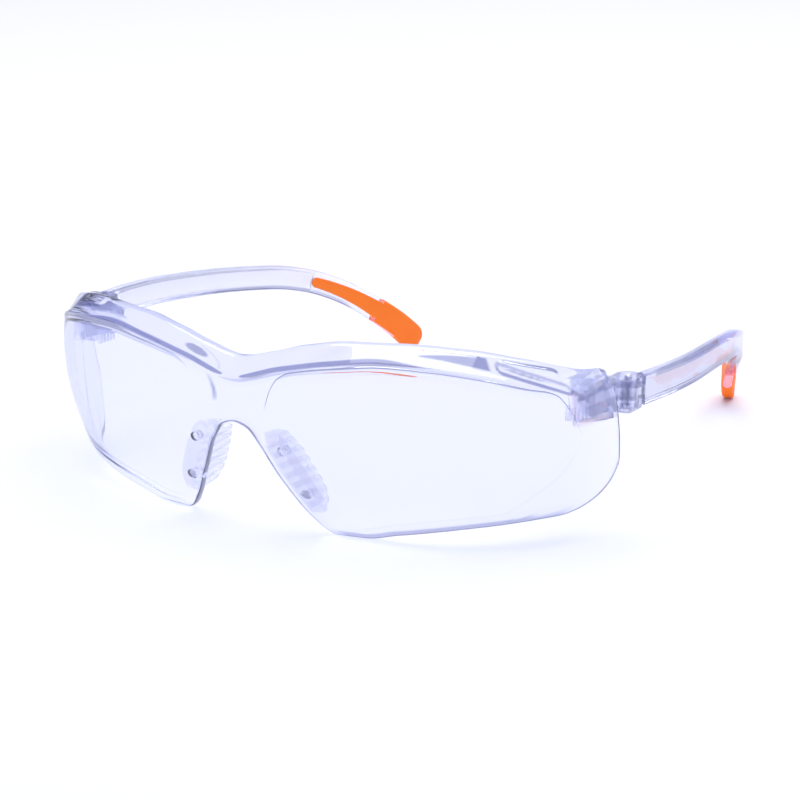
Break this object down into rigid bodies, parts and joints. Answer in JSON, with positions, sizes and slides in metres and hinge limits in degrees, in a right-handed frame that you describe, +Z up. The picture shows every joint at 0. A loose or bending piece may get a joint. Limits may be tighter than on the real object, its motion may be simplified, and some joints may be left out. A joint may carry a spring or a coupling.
{
  "type": "safety glasses",
  "caption": "Clear wraparound safety glasses: one-piece visor with brow bar and side shields, soft nose pads, and folding, tilting temples with orange soft tips.",
  "frame": {"origin": "centre of the bounding box of the open glasses, on the surface they stand on", "axes": "+X to the wearer's left, +Y from the visor back to the temple tips, +Z up; the glasses mirror across X = 0"},
  "size_m": [0.1482, 0.1647, 0.0457],
  "materials": {
    "clear_polycarbonate": "polished clear with a faint lavender-blue tint",
    "clear_soft_pvc": "soft clear, slightly hazy",
    "pin_steel": "dark satin steel",
    "orange_soft_tpe": "satin moulded rubber"
  },
  "bodies": {
    "visor": {"visor": "clear_polycarbonate", "nose_pad_left": "clear_soft_pvc", "nose_pad_right": "clear_soft_pvc"},
    "hinge_left": {"hinge_carrier_left": "clear_polycarbonate", "hinge_pin_left": "pin_steel"},
    "hinge_right": {"hinge_carrier_right": "clear_polycarbonate", "hinge_pin_right": "pin_steel"},
    "temple_left": {"temple_left": "clear_polycarbonate", "temple_tip_left": "orange_soft_tpe"},
    "temple_right": {"temple_right": "clear_polycarbonate", "temple_tip_right": "orange_soft_tpe"}
  },
  "joints": [
    {"name": "temple_tilt_left", "type": "hinge", "parent": "visor", "child": "hinge_left", "pos_m": [0.0628, -0.04272, 0.031], "axis": [1, 0, 0], "range_deg": [-5, 5]},
    {"name": "temple_tilt_right", "type": "hinge", "parent": "visor", "child": "hinge_right", "pos_m": [-0.0628, -0.04272, 0.031], "axis": [1, 0, 0], "range_deg": [-5, 5]},
    {"name": "temple_fold_left", "type": "hinge", "parent": "hinge_left", "child": "temple_left", "pos_m": [0.0698, -0.03122, 0.031], "axis": [0, 0, 1], "range_deg": [0, 90]},
    {"name": "temple_fold_right", "type": "hinge", "parent": "hinge_right", "child": "temple_right", "pos_m": [-0.0698, -0.03122, 0.031], "axis": [0, 0, -1], "range_deg": [0, 76]}
  ]
}
